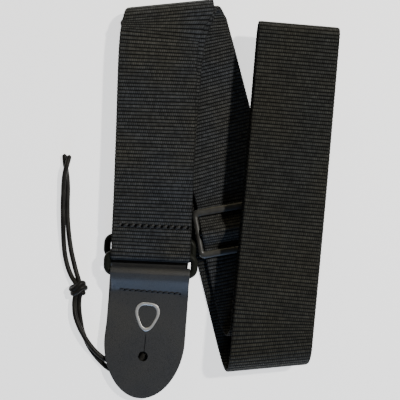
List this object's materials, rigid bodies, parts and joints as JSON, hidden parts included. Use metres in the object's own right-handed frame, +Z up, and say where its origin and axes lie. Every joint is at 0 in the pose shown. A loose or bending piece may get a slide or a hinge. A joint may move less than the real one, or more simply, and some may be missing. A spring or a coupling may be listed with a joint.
{
  "type": "guitar strap",
  "caption": "Webbing guitar strap folded in thirds, with leather ends on wire rings, a tri-glide slider that adjusts its length, and a tie lace",
  "frame": {"origin": "Centre of the folded strap's box, on the plane that it lies on, with the free lace left out", "axes": "+Y along the folded strap towards its upper folds, +Z up from the surface, +X across from the lace towards the free third"},
  "size_m": [0.1789, 0.2589, 0.0277],
  "materials": {
    "webbing": "ribbed black polypropylene weave",
    "leather": "black, fine grain, semi-matte",
    "ring": "black gloss enamel",
    "slider": "black gloss moulding",
    "thread": "twisted black sewing thread",
    "foil": "stamped silver foil",
    "lace": "waxed round black cord"
  },
  "bodies": {
    "strap": {"webbing_front_strand": "webbing", "webbing_top_fold_outer": "webbing", "webbing_lower_strand": "webbing", "webbing_bottom_fold_outer": "webbing", "webbing_shoulder_outer": "webbing", "webbing_middle_fold": "webbing", "webbing_shoulder_inner": "webbing", "webbing_bottom_fold_inner": "webbing", "webbing_run_lower": "webbing", "webbing_run_strand": "webbing", "webbing_top_fold_run": "webbing", "webbing_back_run": "webbing", "webbing_back_loop": "webbing", "webbing_back_return": "webbing", "webbing_top_fold_return": "webbing", "webbing_return_strand": "webbing", "webbing_front_loop": "webbing", "webbing_seam_thread": "thread"},
    "ring_front": {"ring_front": "ring"},
    "leather_front": {"leather_end_front": "leather", "leather_seam_front": "thread", "emblem_foil": "foil"},
    "ring_back": {"ring_back": "ring"},
    "leather_back": {"leather_end_back": "leather", "leather_seam_back": "thread", "lace_lower_left": "lace", "lace_lower_right": "lace", "lace_knot": "lace", "lace_upper_left": "lace", "lace_upper_right": "lace"},
    "slider": {"slider_frame": "slider", "webbing_slider_hump": "webbing", "webbing_slider_tail": "webbing"}
  },
  "joints": [
    {"name": "front_ring_hinge", "type": "hinge", "parent": "strap", "child": "ring_front", "pos_m": [-0.04365, -0.03566, 0.01295], "axis": [-0.999, 0.0454, 0], "range_deg": [0, 90]},
    {"name": "front_leather_hinge", "type": "hinge", "parent": "ring_front", "child": "leather_front", "pos_m": [-0.0442, -0.04772, 0.01125], "axis": [-0.999, 0.0454, 0], "range_deg": [0, 85]},
    {"name": "back_ring_hinge", "type": "hinge", "parent": "strap", "child": "ring_back", "pos_m": [-0.04435, -0.02566, 0.0045], "axis": [0.9981, -0.061, 0], "range_deg": [0, 5]},
    {"name": "back_leather_hinge", "type": "hinge", "parent": "ring_back", "child": "leather_back", "pos_m": [-0.0451, -0.03783, 0.0045], "axis": [0.9981, -0.061, 0], "range_deg": [0, 80]},
    {"name": "slider_slide", "type": "slide", "parent": "strap", "child": "slider", "axis": [0.1736, -0.9848, 0], "range_m": [0, 0.03], "deforming": ["webbing_run_lower"]}
  ]
}
